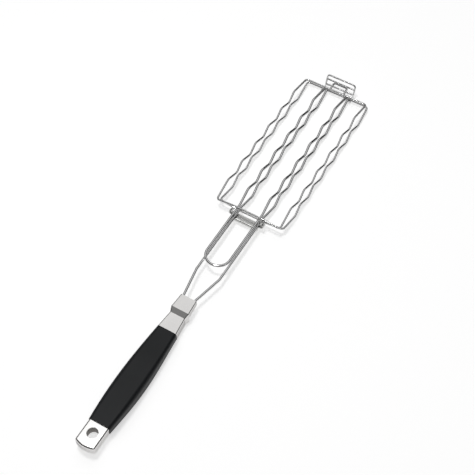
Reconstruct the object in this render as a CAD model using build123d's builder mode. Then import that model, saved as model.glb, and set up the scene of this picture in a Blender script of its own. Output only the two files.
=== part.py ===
"""Sausage grill basket: two hinged wire halves on a long flat handle.

Millimetres, +X from the handle to the basket's tip, +Z up. The origin is under
the middle of the whole length, on the surface that the grip lies on.
"""
from build123d import *

import os

# Wires
RAIL_WIRE = 3.0
FRAME_WIRE = 2.4
LADDER_WIRE = 2.0
TAB_WIRE = 2.4
FIT_GAP = 0.3
WELD_GAP = 0.05

# Basket plan
CHANNEL_HALF = 14.25
FRAME_HALF = 40.2
WAVE_PITCH = 30.4
WAVE_COUNT = 6
END_RUN = 28.0
WAVE_START = 6.5
CORNER_RADIUS = 3.4
LOWER_SHIFT = -1.3
UPPER_SHIFT = 0.6

# Waves lean: each crest goes up or down and a little to one side
CREST_RISE = 3.7
CREST_LEAN = 1.9
BEND_RADIUS = 10.0

# Heights
LOWER_Z = 16.5
CLOSED_GAP = 0.4
STEP_FLAT = 3.0
STEP_RADIUS = 6.0
LOWER_INSET = 3.2

# Handle wires and the closing loop of the upper half
LOOP_END = 77.2
SHOULDER = 88.0
NECK_MOUTH = 124.6
WIRE_TAIL = 16.0
WIRE_TAIL_HALF = 7.2
SHOULDER_RADIUS = 12.0
TAIL_RADIUS = 8.0

# Neck bracket
SHEET = 1.0
TONGUE_LENGTH = 17.4
TONGUE_FRONT_WIDTH = 19.6
TONGUE_REAR_WIDTH = 22.0
TONGUE_SKIRT = 7.0
RAMP_LENGTH = 5.5
PLATE_LENGTH = 20.2
PLATE_FRONT_WIDTH = 18.6
PLATE_REAR_WIDTH = 22.6
PLATE_SKIRT = 11.8
NECK_NOTCH = 1.4
NECK_EDGE = 1.6

# Tang inside the handle
TANG_WIDTH = 13.0
TANG_THICK = 3.0
TANG_SETBACK = 1.0

# Grip: distance behind its front end, width, height of its top above the plate, and depth
GRIP_LENGTH = 124.0
GRIP_STATIONS = ((0.0, 23.6, 0.6, 13.2), (30.0, 28.0, 1.3, 15.6), (66.0, 30.8, 1.9, 18.3),
                 (100.0, 28.8, 1.8, 15.8), (124.0, 25.0, 1.2, 13.2))
GRIP_CORNER = 0.28

# End cap and its hanging hole
CAP_LENGTH = 24.8
CAP_BULGE = 2.8
CAP_WIDTH = 23.4
CAP_DEPTH = 12.0
CAP_RISE = 0.2
CAP_EDGE = 2.2
CAP_PLUG = 3.0
HANG_HOLE_RADIUS = 6.0
HANG_HOLE_INSET = 11.2
SLEEVE_WALL = 1.0

# Ladder hinge at the far end
LADDER_HALF = 18.4
LADDER_TOP = 13.0
LADDER_REACH = 6.4
LADDER_SAG = 4.0
LADDER_LEAN = 5.5
RUNG_LOW = 0.6
RUNG_MID = 7.5
HOOK_TIP = 0.8
HOOK_RADIUS = 2.2
LADDER_CORNER = 3.2
TAB_HALF = 8.8
TAB_REACH = 10.8
TAB_RISE = 0.8
TAB_CORNER = 2.6

# Sliding lock
LOCK_LENGTH = 7.9
LOCK_EAR = 4.6
LOCK_LIP = 2.6
LOCK_STRIP_HALF = 16.6
LOCK_SHEET = 1.0
LOCK_SETBACK = 0.5
LOCK_CURL_RADIUS = 2.4
LOCK_CURL_HALF = 18.4
LOCK_CURL_TOP = 110.0

# Worked-out sizes
HALF_GAP = RAIL_WIRE + CLOSED_GAP
UPPER_Z = LOWER_Z + HALF_GAP
BASKET_LENGTH = 2 * END_RUN + (WAVE_COUNT - 1) * WAVE_PITCH
HANDLE_LENGTH = NECK_MOUTH + TONGUE_LENGTH + RAMP_LENGTH + PLATE_LENGTH + GRIP_LENGTH + CAP_LENGTH + CAP_BULGE
FORWARD_LENGTH = BASKET_LENGTH + LADDER_REACH + LADDER_LEAN + LADDER_WIRE / 2
NEAR_X = (HANDLE_LENGTH - FORWARD_LENGTH) / 2
FAR_X = NEAR_X + BASKET_LENGTH
MOUTH_X = NEAR_X - NECK_MOUTH
RAMP_X = MOUTH_X - TONGUE_LENGTH
PLATE_X = RAMP_X - RAMP_LENGTH
GRIP_X = PLATE_X - PLATE_LENGTH
CAP_X = GRIP_X - GRIP_LENGTH
CAP_END_X = CAP_X - CAP_LENGTH
HOLE_X = CAP_X - HANG_HOLE_INSET
TONGUE_TOP_Z = LOWER_Z + RAIL_WIRE / 2 + WELD_GAP + SHEET
TANG_TOP_Z = LOWER_Z - RAIL_WIRE / 2 - WELD_GAP
PLATE_TOP_Z = TANG_TOP_Z + WELD_GAP + SHEET
SKIRT_Z = PLATE_TOP_Z - PLATE_SKIRT
CAP_TOP_Z = PLATE_TOP_Z + CAP_RISE
CAP_MIDDLE_Z = CAP_TOP_Z - CAP_DEPTH / 2


def wavy_line(x_from, z, y, crest):
    """Points of one wavy line from the near cross wire to the far one."""
    points = []
    for index in range(WAVE_COUNT):
        x = NEAR_X + END_RUN + index * WAVE_PITCH
        points.append((x, y + crest * CREST_LEAN, z + crest * CREST_RISE))
        if index < WAVE_COUNT - 1:
            points.append((x + WAVE_PITCH / 2, y, z))
    return [(x_from, y, z)] + points


def frame_points(x_near, z, shift, crest):
    """Route of one outer frame, both ends butted in the middle of its far cross wire."""
    half_butt = WELD_GAP / 2
    y_step = CHANNEL_HALF + STEP_FLAT
    z_step = z + crest * STEP
    right = wavy_line(x_near, z, -FRAME_HALF + shift, crest) + [(FAR_X, -FRAME_HALF + shift, z)]
    left = wavy_line(x_near, z, FRAME_HALF + shift, crest) + [(FAR_X, FRAME_HALF + shift, z)]
    near = [(x_near, -y_step + shift, z_step), (x_near, y_step + shift, z_step)]
    return [(FAR_X, shift - half_butt, z)] + right[::-1] + near + left + [(FAR_X, shift + half_butt, z)]


def frame_radii(points):
    """A bend radius for each corner between the two ends of an outer frame."""
    radii = []
    for x, y, z in points[1:-1]:
        at_end = x in (NEAR_X, NEAR_X + LOWER_INSET, FAR_X)
        at_side = abs(y) > FRAME_HALF / 2
        if at_end and at_side:
            radii.append(CORNER_RADIUS)
        elif at_end:
            radii.append(STEP_RADIUS)
        else:
            radii.append(BEND_RADIUS)
    return radii


STEP = (RAIL_WIRE + FRAME_WIRE) / 2 + WELD_GAP
RAIL_END_X = FAR_X - FRAME_WIRE / 2 - FIT_GAP / 2

os.makedirs("parts", exist_ok=True)


def save(part, name):
    """Label a finished piece and write its STEP file."""
    part.label = name
    export_step(part, f"parts/{name}.step")


# Lower half: each long wire runs from the neck to the far cross wire, as a leg and a wavy rail
def leg_points(side):
    """Route of one leg, from its tail in the neck to the near cross wire."""
    y = side * CHANNEL_HALF + LOWER_SHIFT
    return [(MOUTH_X - WIRE_TAIL, side * WIRE_TAIL_HALF, LOWER_Z),
            (MOUTH_X + SHEET, side * WIRE_TAIL_HALF, LOWER_Z),
            (NEAR_X - SHOULDER, y, LOWER_Z), (NEAR_X + WAVE_START - WELD_GAP, y, LOWER_Z)]


def rail_points(side):
    """Route of one wavy rail of the lower half."""
    y = side * CHANNEL_HALF + LOWER_SHIFT
    return wavy_line(NEAR_X + WAVE_START, LOWER_Z, y, -1) + [(RAIL_END_X, y, LOWER_Z)]


for points, bends, name in ((leg_points(1), [TAIL_RADIUS, SHOULDER_RADIUS], "leg_left"),
                            (leg_points(-1), [TAIL_RADIUS, SHOULDER_RADIUS], "leg_right"),
                            (rail_points(1), BEND_RADIUS, "lower_rail_left"),
                            (rail_points(-1), BEND_RADIUS, "lower_rail_right")):
    with BuildPart() as long_wire:
        with BuildLine() as route:
            FilletPolyline(*points, radius=bends)
        with BuildSketch(Plane(origin=route.line @ 0, z_dir=route.line % 0)):
            Circle(RAIL_WIRE / 2)
        sweep()
    save(long_wire.part, name)

# Outer frames of both halves: one wire each, bent right round
for name, x_near, z, shift, crest in (("lower_frame", NEAR_X + LOWER_INSET, LOWER_Z, LOWER_SHIFT, -1),
                                      ("upper_frame", NEAR_X, UPPER_Z, UPPER_SHIFT, 1)):
    with BuildPart() as frame:
        with BuildLine() as route:
            points = frame_points(x_near, z, shift, crest)
            FilletPolyline(*points, radius=frame_radii(points))
        with BuildSketch(Plane(origin=route.line @ 0, z_dir=route.line % 0)):
            Circle(FRAME_WIRE / 2)
        sweep()
    save(frame.part, name)

# Upper half: one wire makes both rails and the closing loop
with BuildPart() as loop_wire:
    y = CHANNEL_HALF
    x_loop = NEAR_X - LOOP_END + CHANNEL_HALF
    right = wavy_line(NEAR_X + WAVE_START, UPPER_Z, UPPER_SHIFT - y, 1)
    right.append((RAIL_END_X, UPPER_SHIFT - y, UPPER_Z))
    left = wavy_line(NEAR_X + WAVE_START, UPPER_Z, UPPER_SHIFT + y, 1)
    left.append((RAIL_END_X, UPPER_SHIFT + y, UPPER_Z))
    with BuildLine() as route:
        FilletPolyline(*right[::-1], (x_loop, UPPER_SHIFT - y, UPPER_Z), radius=BEND_RADIUS)
        ThreePointArc((x_loop, UPPER_SHIFT - y, UPPER_Z), (x_loop - y, UPPER_SHIFT, UPPER_Z),
                      (x_loop, UPPER_SHIFT + y, UPPER_Z))
        FilletPolyline((x_loop, UPPER_SHIFT + y, UPPER_Z), *left, radius=BEND_RADIUS)
    with BuildSketch(Plane(origin=route.line @ 0, z_dir=route.line % 0)):
        Circle(RAIL_WIRE / 2)
    sweep()
save(loop_wire.part, "loop_wire")

# Hinge tab: a U of wire welded to the upper far cross wire
with BuildPart() as hinge_tab:
    x_root = FAR_X + FRAME_WIRE / 2 + WELD_GAP
    x_tip = FAR_X + TAB_REACH
    with BuildLine() as route:
        z_tip = UPPER_Z + TAB_RISE
        FilletPolyline((x_root, TAB_HALF, UPPER_Z), (x_tip, TAB_HALF, z_tip), (x_tip, -TAB_HALF, z_tip),
                       (x_root, -TAB_HALF, UPPER_Z), radius=TAB_CORNER)
    with BuildSketch(Plane(origin=route.line @ 0, z_dir=route.line % 0)):
        Circle(TAB_WIRE / 2)
    sweep()
save(hinge_tab.part, "hinge_tab")


# Ladder: hooks under the lower far wire and stands up through the tab
def ladder_x(height):
    """X of the ladder's leg at a height above the lower far wire."""
    share = (height + LADDER_SAG) / (LADDER_TOP + LADDER_SAG)
    return FAR_X + LADDER_REACH + LADDER_LEAN * share


def ladder_leg(side):
    """Points of one leg, from its hook's tip to the top bar."""
    y = side * LADDER_HALF
    x_hook = FAR_X - FRAME_WIRE / 2 - FIT_GAP - LADDER_WIRE / 2
    z_hook = LOWER_Z - FRAME_WIRE / 2 - 2 * FIT_GAP - LADDER_WIRE / 2
    return [(x_hook, y, LOWER_Z + HOOK_TIP), (x_hook, y, z_hook),
            (ladder_x(-LADDER_SAG), y, LOWER_Z - LADDER_SAG), (ladder_x(LADDER_TOP), y, LOWER_Z + LADDER_TOP)]


with BuildPart() as ladder_loop:
    with BuildLine() as route:
        bends = [HOOK_RADIUS, HOOK_RADIUS, LADDER_CORNER, LADDER_CORNER, HOOK_RADIUS, HOOK_RADIUS]
        FilletPolyline(*ladder_leg(1), *ladder_leg(-1)[::-1], radius=bends)
    with BuildSketch(Plane(origin=route.line @ 0, z_dir=route.line % 0)):
        Circle(LADDER_WIRE / 2)
    sweep()
save(ladder_loop.part, "ladder_loop")

for height, name in ((RUNG_MID, "ladder_rung_middle"), (RUNG_LOW, "ladder_rung_low")):
    with BuildPart() as rung:
        reach = LADDER_HALF - LADDER_WIRE / 2 - WELD_GAP
        with BuildSketch(Plane((ladder_x(height), -reach, LOWER_Z + height), z_dir=(0, 1, 0))):
            Circle(LADDER_WIRE / 2)
        extrude(amount=2 * reach)
    save(rung.part, name)

# Sliding lock: a strip under the long wires, with a lip at its rear and ears curled up outside the legs
with BuildPart() as slide_lock:
    x_lock = NEAR_X - FRAME_WIRE / 2 - LOCK_SETBACK
    z_strip = LOWER_Z - RAIL_WIRE / 2 - FIT_GAP - LOCK_SHEET / 2
    middle = LOCK_CURL_RADIUS + LOCK_SHEET / 2
    turn = 90 + LOCK_CURL_TOP
    with BuildSketch(Plane((x_lock, 0, z_strip), x_dir=(0, 1, 0), z_dir=(-1, 0, 0))):
        with BuildLine():
            Line((-LOCK_CURL_HALF, 0), (LOCK_CURL_HALF, 0))
            CenterArc((LOCK_CURL_HALF, -middle), middle, 90, -turn)
            CenterArc((-LOCK_CURL_HALF, -middle), middle, 90, turn)
        trace(line_width=LOCK_SHEET)
    extrude(amount=LOCK_EAR)
    with BuildSketch(Plane.XZ.offset(-LOCK_STRIP_HALF)):
        with BuildLine():
            FilletPolyline((x_lock, z_strip), (x_lock - LOCK_LENGTH, z_strip),
                           (x_lock - LOCK_LENGTH, z_strip - LOCK_LIP), radius=LOCK_SHEET)
        trace(line_width=LOCK_SHEET)
    extrude(amount=2 * LOCK_STRIP_HALF)
save(slide_lock.part, "slide_lock")


def across(x):
    """Plane across the handle at X, its own X along +Y and its own Y along +Z."""
    return Plane((x, 0, 0), x_dir=(0, 1, 0), z_dir=(1, 0, 0))


# Neck bracket: one pressing with a raised tongue over the wires and a plate over the tang
NECK_STATIONS = ((MOUTH_X, TONGUE_FRONT_WIDTH, TONGUE_TOP_Z), (RAMP_X, TONGUE_REAR_WIDTH, TONGUE_TOP_Z),
                 (PLATE_X, PLATE_FRONT_WIDTH, PLATE_TOP_Z), (GRIP_X + WELD_GAP, PLATE_REAR_WIDTH, PLATE_TOP_Z))

with BuildPart() as neck_bracket:
    for inset, mode in ((0, Mode.ADD), (SHEET, Mode.SUBTRACT)):
        for x, width, top in NECK_STATIONS:
            height = top - SKIRT_Z
            with BuildSketch(across(x)) as section:
                with Locations((0, top - inset - height / 2)):
                    Rectangle(width - 2 * inset, height)
                fillet(section.vertices().group_by(Axis.Y)[-1], radius=NECK_EDGE - inset / 2)
        loft(ruled=True, mode=mode)
    # The tongue's skirt is shallow, and a notch parts it from the plate's
    with BuildSketch(Plane.XZ):
        flange_z = TONGUE_TOP_Z - TONGUE_SKIRT
        Polygon((MOUTH_X + 1, SKIRT_Z - 1), (MOUTH_X + 1, flange_z), (RAMP_X + NECK_NOTCH, flange_z),
                (RAMP_X + NECK_NOTCH, flange_z + NECK_NOTCH), (RAMP_X, flange_z + NECK_NOTCH),
                (RAMP_X, SKIRT_Z - 1), align=None)
    extrude(amount=TONGUE_REAR_WIDTH, both=True, mode=Mode.SUBTRACT)
save(neck_bracket.part, "neck_bracket")

# Tang: a flat bar under the wire tails that runs through the grip
with BuildPart() as tang:
    x_end = CAP_X - CAP_PLUG + TANG_SETBACK
    with BuildSketch(Plane.XY.offset(TANG_TOP_Z - TANG_THICK)):
        with Locations(((MOUTH_X - TANG_SETBACK + x_end) / 2, 0)):
            Rectangle(MOUTH_X - TANG_SETBACK - x_end, TANG_WIDTH)
    extrude(amount=TANG_THICK)
    fillet(tang.edges().filter_by(Axis.Z), radius=RAIL_WIRE / 2)
save(tang.part, "tang")


# Grip: a soft moulding round the tang, fuller in the middle, with a flat foot to stand on
with BuildPart() as grip:
    for behind, width, rise, depth in GRIP_STATIONS:
        with BuildSketch(across(GRIP_X - behind)):
            with Locations((0, PLATE_TOP_Z + rise - depth / 2)):
                RectangleRounded(width, depth, GRIP_CORNER * depth)
    loft()
    with BuildSketch(across(CAP_X)):
        with Locations((0, CAP_MIDDLE_Z)):
            Rectangle(CAP_WIDTH - 2 * SHEET - 2 * WELD_GAP, CAP_DEPTH - 2 * SHEET - 2 * WELD_GAP)
    extrude(amount=-CAP_PLUG)
    with BuildSketch(Plane.XY.offset(-GRIP_LENGTH)):
        with Locations((GRIP_X - GRIP_LENGTH / 2, 0)):
            Rectangle(2 * GRIP_LENGTH, GRIP_LENGTH)
    extrude(amount=GRIP_LENGTH, mode=Mode.SUBTRACT)
    with BuildSketch(across(GRIP_X)):
        with Locations((0, TANG_TOP_Z - TANG_THICK / 2)):
            Rectangle(TANG_WIDTH + 2 * WELD_GAP, TANG_THICK + 2 * WELD_GAP)
    extrude(amount=x_end - GRIP_X - WELD_GAP, mode=Mode.SUBTRACT)
save(grip.part, "grip")


def cap_plan(inset):
    """Outline of the end cap with its curved rear, drawn in by inset."""
    half = CAP_WIDTH / 2 - inset
    Line((CAP_X, -half), (CAP_X, half))
    Line((CAP_X, half), (CAP_END_X, half))
    ThreePointArc((CAP_END_X, half), (CAP_END_X - CAP_BULGE + inset, 0), (CAP_END_X, -half))
    Line((CAP_END_X, -half), (CAP_X, -half))


# End cap: a sheet metal box, open towards the grip, with a round hole through it
with BuildPart() as end_cap:
    with BuildSketch(Plane.XY.offset(CAP_TOP_Z - CAP_DEPTH)):
        with BuildLine():
            cap_plan(0)
        make_face()
    extrude(amount=CAP_DEPTH)
    fillet(end_cap.edges().filter_by(lambda edge: edge.center().X < CAP_X - 1), radius=CAP_EDGE)
    with BuildSketch(Plane.XY.offset(CAP_TOP_Z - CAP_DEPTH + SHEET)):
        with BuildLine():
            cap_plan(SHEET)
        make_face()
    extrude(amount=CAP_DEPTH - 2 * SHEET, mode=Mode.SUBTRACT)
    with BuildSketch(Plane.XY):
        with Locations((HOLE_X, 0)):
            Circle(HANG_HOLE_RADIUS)
    extrude(amount=CAP_TOP_Z + 1, mode=Mode.SUBTRACT)
save(end_cap.part, "end_cap")

# Sleeve: a tube that lines the hanging hole between the cap's two walls
with BuildPart() as hang_sleeve:
    length = CAP_DEPTH - 2 * SHEET - 2 * WELD_GAP
    with Locations((HOLE_X, 0, CAP_MIDDLE_Z)):
        Cylinder(HANG_HOLE_RADIUS + SLEEVE_WALL, length)
        Cylinder(HANG_HOLE_RADIUS, length, mode=Mode.SUBTRACT)
save(hang_sleeve.part, "hang_sleeve")
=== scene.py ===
"""Looks of the sausage grill basket: polished wires, pressed steel neck and cap, soft black grip."""

import logging
import math
from dataclasses import dataclass, field
from enum import Enum

import bmesh
import bpy
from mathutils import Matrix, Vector, noise


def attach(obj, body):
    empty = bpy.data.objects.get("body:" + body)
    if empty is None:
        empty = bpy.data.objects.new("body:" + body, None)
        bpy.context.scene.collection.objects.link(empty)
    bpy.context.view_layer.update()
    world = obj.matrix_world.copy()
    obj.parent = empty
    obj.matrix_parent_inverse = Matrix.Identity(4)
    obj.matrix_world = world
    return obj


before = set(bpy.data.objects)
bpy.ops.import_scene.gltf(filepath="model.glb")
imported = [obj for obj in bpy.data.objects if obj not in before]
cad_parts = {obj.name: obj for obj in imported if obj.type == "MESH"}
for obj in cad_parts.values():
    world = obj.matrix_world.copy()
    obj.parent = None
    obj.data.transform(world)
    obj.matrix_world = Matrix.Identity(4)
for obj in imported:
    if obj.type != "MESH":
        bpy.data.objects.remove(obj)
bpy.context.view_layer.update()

LOG = logging.getLogger("grill_basket")
MM = 0.001

# Places in the row frame, in millimetres
NEAR_X = 49.2
FAR_X = 257.2
LOWER_Z = 16.5
UPPER_Z = 19.9
RAIL_Y = 14.25
LOWER_SHIFT = -1.3
UPPER_SHIFT = 0.6
LOWER_INSET = 3.2
FRAME_RADIUS = 1.2


class Grain(Enum):
    """How the fine surface lines of a metal run, as the stretch of the noise along X, Y and Z."""

    DRAWN = (120.0, 5200.0, 5200.0)
    BRUSHED = (150.0, 6500.0, 6500.0)
    ROLLED = (2200.0, 2200.0, 2200.0)


class NodeGraph:
    """A short way to build the nodes of one material."""

    def __init__(self, name: str) -> None:
        """Start an empty material.

        Args:
            name: the material's name.
        """
        self.material = bpy.data.materials.new(name)
        self.material.use_nodes = True
        self.tree = self.material.node_tree
        self.tree.nodes.clear()
        self.output = self.tree.nodes.new("ShaderNodeOutputMaterial")

    def add(self, kind: str, **values: object) -> bpy.types.Node:
        """Add a node and set its inputs and properties.

        Args:
            kind: the node's type, without the ShaderNode prefix.
            values: input sockets by name, with underscores for spaces, or node properties.

        Returns:
            The new node.
        """
        node = self.tree.nodes.new("ShaderNode" + kind)
        for key, value in values.items():
            socket = node.inputs.get(key.replace("_", " "))
            if socket is not None:
                socket.default_value = value
            else:
                setattr(node, key, value)
        return node

    def join(self, source: bpy.types.NodeSocket, target: bpy.types.NodeSocket) -> None:
        """Link one socket to another."""
        self.tree.links.new(source, target)

    def grain_points(self, grain: Grain) -> bpy.types.NodeSocket:
        """Object coordinates stretched along a grain.

        Args:
            grain: the direction that the surface lines take.

        Returns:
            The vector socket to feed a noise with.
        """
        place = self.add("TexCoord")
        mapping = self.add("Mapping", Scale=grain.value)
        self.join(place.outputs["Object"], mapping.inputs["Vector"])
        return mapping.outputs["Vector"]

    def spread(self, factor: bpy.types.NodeSocket, low: float, high: float) -> bpy.types.NodeSocket:
        """Map a 0 to 1 factor to a range.

        Args:
            factor: the socket to map.
            low: the value at 0.
            high: the value at 1.

        Returns:
            The mapped socket.
        """
        mapped = self.add("MapRange", To_Min=low, To_Max=high)
        self.join(factor, mapped.inputs["Value"])
        return mapped.outputs["Result"]

    def tone(self, factor: bpy.types.NodeSocket, stops: tuple[float, float],
             colours: tuple[tuple[float, float, float], ...]) -> bpy.types.NodeSocket:
        """Shade between two colours.

        Args:
            factor: the socket that chooses the colour.
            stops: the factors at which the two colours are reached.
            colours: the two colours.

        Returns:
            The colour socket.
        """
        ramp = self.add("ValToRGB")
        for element, stop, colour in zip(ramp.color_ramp.elements, stops, colours):
            element.position = stop
            element.color = (*colour, 1.0)
        self.join(factor, ramp.inputs["Fac"])
        return ramp.outputs["Color"]


@dataclass(frozen=True)
class SteelFinish:
    """Stainless steel with fine lines, faint smudges and a slight change of tone, and painted shade on
    its grazing edges where the edge tint is below 1.
    """

    name: str
    pale: tuple[float, float, float]
    dull: tuple[float, float, float]
    rough_low: float
    rough_high: float
    grain: Grain
    line_depth: float = 0.05
    # An edge tint below 1 darkens the reflection at grazing angles: painted shade along the edges.
    edge_shade_tint: float = 1.0
    line_height: float = 0.00002
    smudge_scale: float = 38.0
    smudge_share: float = 0.45
    tone_stops: tuple[float, float] = (0.3, 0.7)

    def material(self) -> bpy.types.Material:
        """Build the node material.

        Returns:
            The material.
        """
        graph = NodeGraph(self.name)
        lines = graph.add("TexNoise", Scale=1.0, Detail=3.0, Roughness=0.6)
        graph.join(graph.grain_points(self.grain), lines.inputs["Vector"])
        place = graph.add("TexCoord")
        smudge = graph.add("TexNoise", Scale=self.smudge_scale, Detail=4.0, Roughness=0.55)
        graph.join(place.outputs["Object"], smudge.inputs["Vector"])
        blend = graph.add("Mix", data_type="FLOAT")
        blend.inputs[0].default_value = self.smudge_share
        graph.join(lines.outputs["Fac"], blend.inputs[2])
        graph.join(smudge.outputs["Fac"], blend.inputs[3])
        colour = graph.tone(blend.outputs[0], self.tone_stops, (self.dull, self.pale))
        roughness = graph.spread(blend.outputs[0], self.rough_low, self.rough_high)
        bump = graph.add("Bump", Strength=self.line_depth, Distance=self.line_height)
        graph.join(lines.outputs["Fac"], bump.inputs["Height"])
        # The edge tint paints shade on the grazing edges.
        tint = (self.edge_shade_tint, self.edge_shade_tint, self.edge_shade_tint, 1.0)
        shader = graph.add("BsdfPrincipled", Metallic=1.0, Specular_Tint=tint)
        graph.join(colour, shader.inputs["Base Color"])
        graph.join(roughness, shader.inputs["Roughness"])
        graph.join(bump.outputs["Normal"], shader.inputs["Normal"])
        graph.join(shader.outputs["BSDF"], graph.output.inputs["Surface"])
        return graph.material


@dataclass(frozen=True)
class MouldedFinish:
    """Matt black moulded skin with a fine pebbled grain and slightly worn, shinier high spots."""

    name: str
    deep: tuple[float, float, float]
    worn: tuple[float, float, float]
    rough_low: float
    rough_high: float
    pebble_scale: float = 1500.0
    pebble_depth: float = 0.12
    pebble_height: float = 0.0001
    pore_share: float = 0.7
    wear_scale: float = 22.0
    wear_stops: tuple[float, float] = (0.35, 0.75)
    specular: float = 0.3

    def material(self) -> bpy.types.Material:
        """Build the node material.

        Returns:
            The material.
        """
        graph = NodeGraph(self.name)
        place = graph.add("TexCoord")
        pebble = graph.add("TexVoronoi", Scale=self.pebble_scale)
        pores = graph.add("TexNoise", Scale=self.pebble_scale * self.pore_share, Detail=2.0)
        wear = graph.add("TexNoise", Scale=self.wear_scale, Detail=5.0, Roughness=0.6)
        for texture in (pebble, pores, wear):
            graph.join(place.outputs["Object"], texture.inputs["Vector"])
        colour = graph.tone(wear.outputs["Fac"], self.wear_stops, (self.deep, self.worn))
        roughness = graph.spread(wear.outputs["Fac"], self.rough_high, self.rough_low)
        heights = graph.add("Math", operation="MULTIPLY")
        graph.join(pebble.outputs["Distance"], heights.inputs[0])
        graph.join(pores.outputs["Fac"], heights.inputs[1])
        bump = graph.add("Bump", Strength=self.pebble_depth, Distance=self.pebble_height)
        graph.join(heights.outputs[0], bump.inputs["Height"])
        shader = graph.add("BsdfPrincipled", Metallic=0.0, Specular_IOR_Level=self.specular)
        graph.join(colour, shader.inputs["Base Color"])
        graph.join(roughness, shader.inputs["Roughness"])
        graph.join(bump.outputs["Normal"], shader.inputs["Normal"])
        graph.join(shader.outputs["BSDF"], graph.output.inputs["Surface"])
        return graph.material


@dataclass(frozen=True)
class PaperFinish:
    """Plain pale floor that keeps its shadows and shows white to the camera and in reflections.

    Its own shade is paper. Lift is a glow that lights nothing else.
    """

    name: str
    paper: float
    lift: float

    def material(self) -> bpy.types.Material:
        """Build the node material.

        Returns:
            The material.
        """
        graph = NodeGraph(self.name)
        diffuse = graph.add("BsdfDiffuse", Color=(self.paper, self.paper, self.paper, 1.0))
        glow = graph.add("Emission", Color=(1.0, 1.0, 1.0, 1.0))
        path = graph.add("LightPath")
        direct = graph.add("Math", operation="MAXIMUM")
        graph.join(path.outputs["Is Camera Ray"], direct.inputs[0])
        graph.join(path.outputs["Is Glossy Ray"], direct.inputs[1])
        seen = graph.add("Math", operation="MAXIMUM")
        graph.join(direct.outputs[0], seen.inputs[0])
        graph.join(path.outputs["Is Transmission Ray"], seen.inputs[1])
        strength = graph.add("Math", operation="MULTIPLY")
        strength.inputs[1].default_value = self.lift
        graph.join(seen.outputs[0], strength.inputs[0])
        graph.join(strength.outputs[0], glow.inputs["Strength"])
        total = graph.add("AddShader")
        graph.join(diffuse.outputs[0], total.inputs[0])
        graph.join(glow.outputs[0], total.inputs[1])
        graph.join(total.outputs[0], graph.output.inputs["Surface"])
        return graph.material


@dataclass
class Finishes:
    """Every finish of the object, each built once."""

    wire: bpy.types.Material = field(init=False)
    pressed: bpy.types.Material = field(init=False)
    strip: bpy.types.Material = field(init=False)
    bar: bpy.types.Material = field(init=False)
    bead: bpy.types.Material = field(init=False)
    sleeve: bpy.types.Material = field(init=False)
    skin: bpy.types.Material = field(init=False)

    def __post_init__(self) -> None:
        """Build the materials."""
        # The wires' edge tint of 0.30, the sheet's 0.5 and the strip's 0.3 paint shade along their
        # edges.
        self.wire = SteelFinish(
            "polished_wire", pale=(0.74, 0.74, 0.74), dull=(0.68, 0.68, 0.68), rough_low=0.10,
            rough_high=0.15, grain=Grain.DRAWN, line_depth=0.01, edge_shade_tint=0.30).material()
        self.pressed = SteelFinish(
            "pressed_sheet", pale=(0.82, 0.81, 0.80), dull=(0.72, 0.71, 0.70), rough_low=0.20,
            rough_high=0.30, grain=Grain.BRUSHED, line_depth=0.03, edge_shade_tint=0.5).material()
        # The sleeve's dark steel tone is painted shade for the inside of the hanging hole.
        self.sleeve = SteelFinish(
            "hole_sleeve", pale=(0.22, 0.21, 0.20), dull=(0.12, 0.115, 0.105), rough_low=0.4,
            rough_high=0.6, grain=Grain.ROLLED).material()
        # The strip's darker steel tone is partly painted shade for the shadow at its rear lip.
        self.strip = SteelFinish(
            "lock_strip_painted_shade", pale=(0.62, 0.62, 0.61), dull=(0.52, 0.52, 0.51), rough_low=0.22,
            rough_high=0.32, grain=Grain.BRUSHED, line_depth=0.03, edge_shade_tint=0.3).material()
        self.bar = SteelFinish(
            "plain_bar", pale=(0.60, 0.60, 0.60), dull=(0.46, 0.46, 0.46), rough_low=0.35,
            rough_high=0.5, grain=Grain.ROLLED).material()
        self.bead = SteelFinish(
            "weld_bead", pale=(0.66, 0.65, 0.63), dull=(0.42, 0.41, 0.40), rough_low=0.28,
            rough_high=0.45, grain=Grain.ROLLED, line_depth=0.2).material()
        self.skin = MouldedFinish(
            "moulded_skin", deep=(0.0052, 0.0066, 0.0080), worn=(0.0082, 0.0100, 0.0118),
            rough_low=0.46, rough_high=0.58).material()


def dress(node: str, material: bpy.types.Material) -> None:
    """Give a CAD node its finish and turn on smooth shading for its faces.

    Args:
        node: the CAD node's name.
        material: the finish.
    """
    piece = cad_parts[node]
    piece.data.materials.clear()
    piece.data.materials.append(material)
    for polygon in piece.data.polygons:
        polygon.use_smooth = True
    LOG.info("dressed %s with %s", node, material.name)


def new_piece(name: str, mesh: bmesh.types.BMesh, material: bpy.types.Material, body: str) -> None:
    """Turn a mesh into a piece that rides on a body.

    Args:
        name: the piece's name.
        mesh: its mesh, which is freed.
        material: its finish.
        body: the CAD body that it moves with.
    """
    data = bpy.data.meshes.new(name)
    mesh.to_mesh(data)
    mesh.free()
    for polygon in data.polygons:
        polygon.use_smooth = True
    data.materials.append(material)
    piece = bpy.data.objects.new(name, data)
    bpy.context.scene.collection.objects.link(piece)
    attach(piece, body)
    LOG.info("built %s on %s", name, body)


@dataclass
class WeldBeads:
    """Small uneven beads of weld where wires meet, with half sizes in millimetres."""

    name: str
    body: str
    places: list[tuple[float, float, float]]
    half_sizes: tuple[float, float, float] = (1.5, 1.3, 0.9)
    lump: float = 0.14
    lump_scale: float = 1.7
    lump_spread: float = 900.0
    subdivisions: int = 3
    slot: str = "frame_wire"

    def build(self, material: bpy.types.Material) -> None:
        """Build one mesh that holds all the beads.

        Args:
            material: the finish of the weld.
        """
        mesh = bmesh.new()
        size = Vector(self.half_sizes) * MM
        for place in self.places:
            centre = Vector(place) * MM
            made = bmesh.ops.create_icosphere(mesh, subdivisions=self.subdivisions, radius=1.0)
            for vertex in made["verts"]:
                spot = vertex.co * self.lump_scale + centre * self.lump_spread
                swell = 1.0 + self.lump * noise.noise(spot)
                vertex.co = centre + Vector(a * b * swell for a, b in zip(vertex.co, size))
        new_piece(self.name, mesh, material, self.body)


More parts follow.
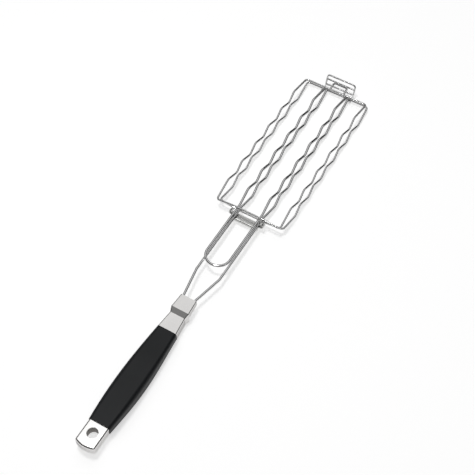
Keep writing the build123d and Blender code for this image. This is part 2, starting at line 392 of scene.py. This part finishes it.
@dataclass
class BasketHalves:
    """Both wavy wire halves, their closing loop and the long wires that carry them."""

    rails: tuple[str, ...] = (
        "leg_left", "leg_right", "lower_rail_left", "lower_rail_right", "loop_wire")
    frames: tuple[str, ...] = ("lower_frame", "upper_frame")
    rail_radius: float = 1.5
    frame_radius: float = FRAME_RADIUS
    butt_sizes: tuple[float, float, float] = (1.3, 0.8, 1.3)
    butt_lump: float = 0.05

    def build(self, finishes: Finishes) -> None:
        """Dress the wires, weld them where they cross and close each outer frame with a butt weld.

        Args:
            finishes: the finishes to use.
        """
        for node in self.rails + self.frames:
            dress(node, finishes.wire)
        lower_near_x = NEAR_X + LOWER_INSET
        self.welds("lower_welds", "root", lower_near_x, LOWER_Z, LOWER_SHIFT, -1.0, finishes.bead)
        self.welds("upper_welds", "lid", NEAR_X, UPPER_Z, UPPER_SHIFT, 1.0, finishes.bead)
        for name, body, height, shift in (("lower_butt", "root", LOWER_Z, LOWER_SHIFT),
                                          ("upper_butt", "lid", UPPER_Z, UPPER_SHIFT)):
            place = (FAR_X, shift, height)
            WeldBeads(name, body, [place], self.butt_sizes, self.butt_lump).build(finishes.bead)

    def welds(self, name: str, body: str, near_x: float, height: float, shift: float, way: float,
              material: bpy.types.Material) -> None:
        """Weld the rails of one half to its near and far cross wires.

        Args:
            name: the piece's name.
            body: the CAD body.
            near_x: where the half's near cross wire lies.
            height: the half's own height in millimetres.
            shift: how far its lines stand to the left.
            way: 1 where the near cross wire passes over the rails, -1 where it passes under.
            material: the finish of the weld.
        """
        places = []
        for rail in (-RAIL_Y, RAIL_Y):
            places.append((near_x, rail + shift, height + way * self.rail_radius))
            places.append((FAR_X - self.frame_radius, rail + shift, height))
        WeldBeads(name, body, places).build(material)


@dataclass
class HingeLadder:
    """The standing ladder at the far end and the tab that hangs in it."""

    wires: tuple[str, ...] = ("ladder_loop", "ladder_rung_middle", "ladder_rung_low", "hinge_tab")
    half_width: float = 18.4
    reach: float = 6.4
    lean: float = 5.5
    sag: float = 4.0
    top: float = 13.0
    rungs: tuple[float, float] = (7.5, 0.6)
    rung_inset: float = 0.9
    rung_bead: tuple[float, float, float] = (1.0, 0.8, 1.1)
    tab_half: float = 8.8
    tab_bead: tuple[float, float, float] = (1.0, 1.5, 1.2)
    frame_radius: float = FRAME_RADIUS

    def build(self, finishes: Finishes) -> None:
        """Dress the ladder and the tab and add their welds.

        Args:
            finishes: the finishes to use.
        """
        for node in self.wires:
            dress(node, finishes.wire)
        places = []
        for height in self.rungs:
            share = (height + self.sag) / (self.top + self.sag)
            x = FAR_X + self.reach + self.lean * share
            for side in (-1.0, 1.0):
                places.append((x, side * (self.half_width - self.rung_inset), LOWER_Z + height))
        WeldBeads("ladder_welds", "ladder", places, self.rung_bead).build(finishes.bead)
        tab = [(FAR_X + self.frame_radius, side * self.tab_half, UPPER_Z) for side in (-1.0, 1.0)]
        WeldBeads("tab_welds", "lid", tab, self.tab_bead).build(finishes.bead)


@dataclass
class SlidingLock:
    """The strip with curled ends that slides along the wires."""

    node: str = "slide_lock"

    def build(self, finishes: Finishes) -> None:
        """Dress the lock."""
        dress(self.node, finishes.strip)


@dataclass
class Handle:
    """Neck bracket, tang, grip, end cap and the sleeve of the hanging hole."""

    sheets: tuple[str, ...] = ("neck_bracket", "end_cap")

    def build(self, finishes: Finishes) -> None:
        """Dress the handle's pieces.

        Args:
            finishes: the finishes to use.
        """
        for node in self.sheets:
            dress(node, finishes.pressed)
        dress("hang_sleeve", finishes.sleeve)
        dress("tang", finishes.bar)
        dress("grip", finishes.skin)


@dataclass
class Studio:
    """Floor, world, lamp and the camera at the photograph's place.

    The camera and the floor are placed in millimetres, the lamp in metres.
    """

    focal_px: float = 1154.09
    image_px: float = 475.0
    sensor_mm: float = 36.0
    clip_range: tuple[float, float] = (0.01, 50.0)
    camera_at: tuple[float, float, float] = (NEAR_X - 646.25, -368.07, LOWER_Z + 1038.27)
    look_at: tuple[float, float, float] = (NEAR_X - 31.12, -4.13, LOWER_Z)
    floor_point: tuple[float, float, float] = (-175.0, 0.0, 0.0)
    floor_tilt: float = 1.50
    floor_half: float = 4000.0
    floor_paper: float = 0.85
    floor_lift: float = 0.57
    key_at: tuple[float, float, float] = (-0.05, 0.25, 1.80)
    key_power: float = 8.0
    key_size: float = 0.35
    room_stops: tuple[tuple[float, float], ...] = (
        (0.0, 0.10), (0.05, 0.02), (0.52, 0.03), (0.66, 0.12), (0.82, 0.30), (1.0, 0.36))
    screen_way: tuple[float, float, float] = (0.381, 0.150, 0.912)
    screen_stops: tuple[tuple[float, float], ...] = (
        (0.0, 0.0), (0.79, 0.0), (0.91, 1.0), (1.0, 1.0))

    def camera(self) -> None:
        """Make the camera that was fitted to the photograph."""
        data = bpy.data.cameras.new("photo_camera")
        data.sensor_width = self.sensor_mm
        data.lens = self.sensor_mm * self.focal_px / self.image_px
        data.clip_start, data.clip_end = self.clip_range
        camera = bpy.data.objects.new("photo_camera", data)
        camera.location = Vector(self.camera_at) * MM
        towards = Vector(self.look_at) * MM - camera.location
        camera.rotation_mode = "QUATERNION"
        camera.rotation_quaternion = towards.to_track_quat("-Z", "Y")
        bpy.context.scene.collection.objects.link(camera)
        bpy.context.scene.camera = camera

    def floor(self) -> None:
        """Lay the floor under the grip's foot and the basket's far end."""
        mesh = bmesh.new()
        size = self.floor_half * MM
        plan = ((-size, -size), (size, -size), (size, size), (-size, size))
        mesh.faces.new([mesh.verts.new((x, y, 0.0)) for x, y in plan])
        data = bpy.data.meshes.new("floor")
        mesh.to_mesh(data)
        mesh.free()
        data.materials.append(PaperFinish("floor_paper", self.floor_paper, self.floor_lift).material())
        floor = bpy.data.objects.new("floor", data)
        floor.location = Vector(self.floor_point) * MM
        floor.rotation_euler = (0.0, -math.radians(self.floor_tilt), 0.0)
        bpy.context.scene.collection.objects.link(floor)

    def world(self) -> None:
        """Surround the object with a grey room, dark low down, and a white screen on the far side."""
        world = bpy.data.worlds.new("studio")
        bpy.context.scene.world = world
        world.use_nodes = True
        tree = world.node_tree
        tree.nodes.clear()
        output = tree.nodes.new("ShaderNodeOutputWorld")
        background = tree.nodes.new("ShaderNodeBackground")
        place = tree.nodes.new("ShaderNodeTexCoord")
        split = tree.nodes.new("ShaderNodeSeparateXYZ")
        tree.links.new(place.outputs["Generated"], split.inputs["Vector"])
        room = self.level_ramp(tree, split.outputs["Z"], self.room_stops)
        towards = tree.nodes.new("ShaderNodeVectorMath")
        towards.operation = "DOT_PRODUCT"
        towards.inputs[1].default_value = self.screen_way
        tree.links.new(place.outputs["Generated"], towards.inputs[0])
        screen = self.level_ramp(tree, towards.outputs["Value"], self.screen_stops)
        total = tree.nodes.new("ShaderNodeMath")
        total.operation = "MAXIMUM"
        tree.links.new(room, total.inputs[0])
        tree.links.new(screen, total.inputs[1])
        tree.links.new(total.outputs[0], background.inputs["Strength"])
        tree.links.new(background.outputs["Background"], output.inputs["Surface"])

    @staticmethod
    def level_ramp(tree: bpy.types.NodeTree, factor: bpy.types.NodeSocket,
                   stops: tuple[tuple[float, float], ...]) -> bpy.types.NodeSocket:
        """Turn a factor into a brightness.

        Args:
            tree: the world's node tree.
            factor: the socket that feeds the ramp.
            stops: positions from 0 to 1 with their brightness.

        Returns:
            The brightness socket.
        """
        ramp = tree.nodes.new("ShaderNodeValToRGB")
        elements = ramp.color_ramp.elements
        middle = 0.5
        while len(elements) < len(stops):
            elements.new(middle)
        for element, (position, level) in zip(elements, stops):
            element.position = position
            element.color = (level, level, level, 1.0)
        tree.links.new(factor, ramp.inputs["Fac"])
        return ramp.outputs["Color"]

    def lamp(self) -> None:
        """Hang one soft lamp nearly overhead, so that the shadows lie close to the object."""
        data = bpy.data.lights.new("key_lamp", "AREA")
        data.energy = self.key_power
        data.shape = "DISK"
        data.size = self.key_size
        lamp = bpy.data.objects.new("key_lamp", data)
        lamp.location = Vector(self.key_at)
        lamp.rotation_mode = "QUATERNION"
        lamp.rotation_quaternion = (-Vector(self.key_at)).to_track_quat("-Z", "Y")
        bpy.context.scene.collection.objects.link(lamp)

    def build(self) -> None:
        """Make the whole studio."""
        self.camera()
        self.floor()
        self.world()
        self.lamp()
        bpy.context.scene.view_settings.view_transform = "Standard"


def main() -> None:
    """Build every sub-assembly and the studio."""
    logging.basicConfig(level=logging.INFO)
    Studio().build()
    finishes = Finishes()
    BasketHalves().build(finishes)
    HingeLadder().build(finishes)
    SlidingLock().build(finishes)
    Handle().build(finishes)


if __name__ == "__main__":
    main()
